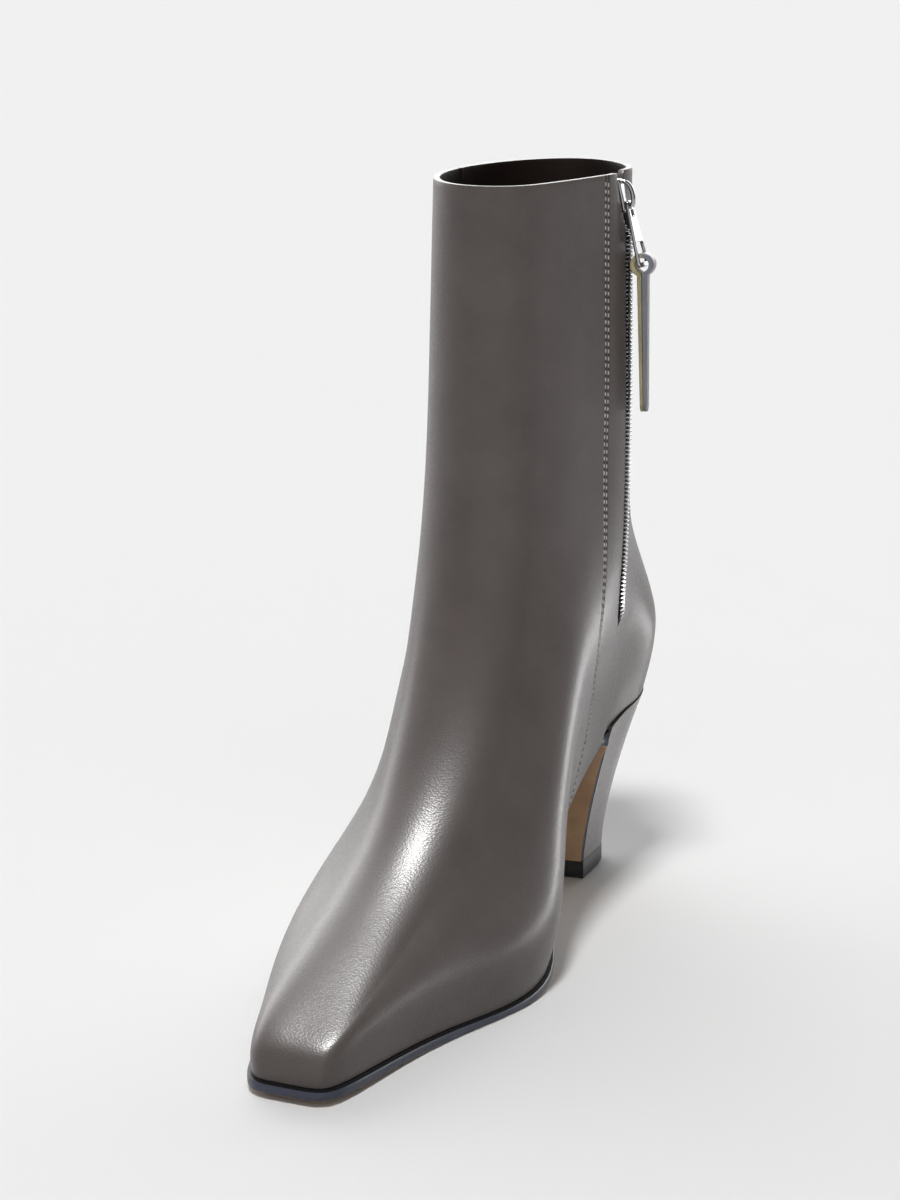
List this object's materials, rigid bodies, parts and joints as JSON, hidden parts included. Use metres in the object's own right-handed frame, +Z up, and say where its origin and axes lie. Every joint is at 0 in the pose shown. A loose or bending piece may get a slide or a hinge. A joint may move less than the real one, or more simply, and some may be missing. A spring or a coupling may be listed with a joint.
{
  "type": "heeled ankle boot",
  "caption": "Heeled leather ankle boot for the right foot: straight shaft, squared toe, slanted block heel, thin leather sole and a zip on the inner side with a leather pull.",
  "frame": {"origin": "middle of the box round the boot, on the floor it stands on", "axes": "+X to the medial (inner) side, +Y to the heel, so the toe points to -Y, and +Z up"},
  "size_m": [0.0818, 0.2718, 0.2342],
  "materials": {
    "upper_leather": "smooth semi-gloss",
    "sole_leather": "polished, dyed edge",
    "lining_leather": "matte",
    "black_rubber": "matte",
    "tape_fabric": "woven",
    "chain_metal": "dark",
    "chrome": "polished"
  },
  "bodies": {
    "boot": {"upper": "upper_leather", "outsole": "sole_leather", "insole": "lining_leather", "heel": "upper_leather", "top_piece": "black_rubber", "zip_tape": "tape_fabric", "zip_chain": "chain_metal", "zip_slider": "chrome"},
    "zip_pull": {"zip_link": "chrome", "pull_strap": "upper_leather"}
  },
  "joints": [
    {"name": "zip_pull_swing", "type": "hinge", "parent": "boot", "child": "zip_pull", "pos_m": [0.0288, 0.08684, 0.22443], "axis": [0.0266, -0.9984, 0.0505], "range_deg": [0, 120]}
  ]
}
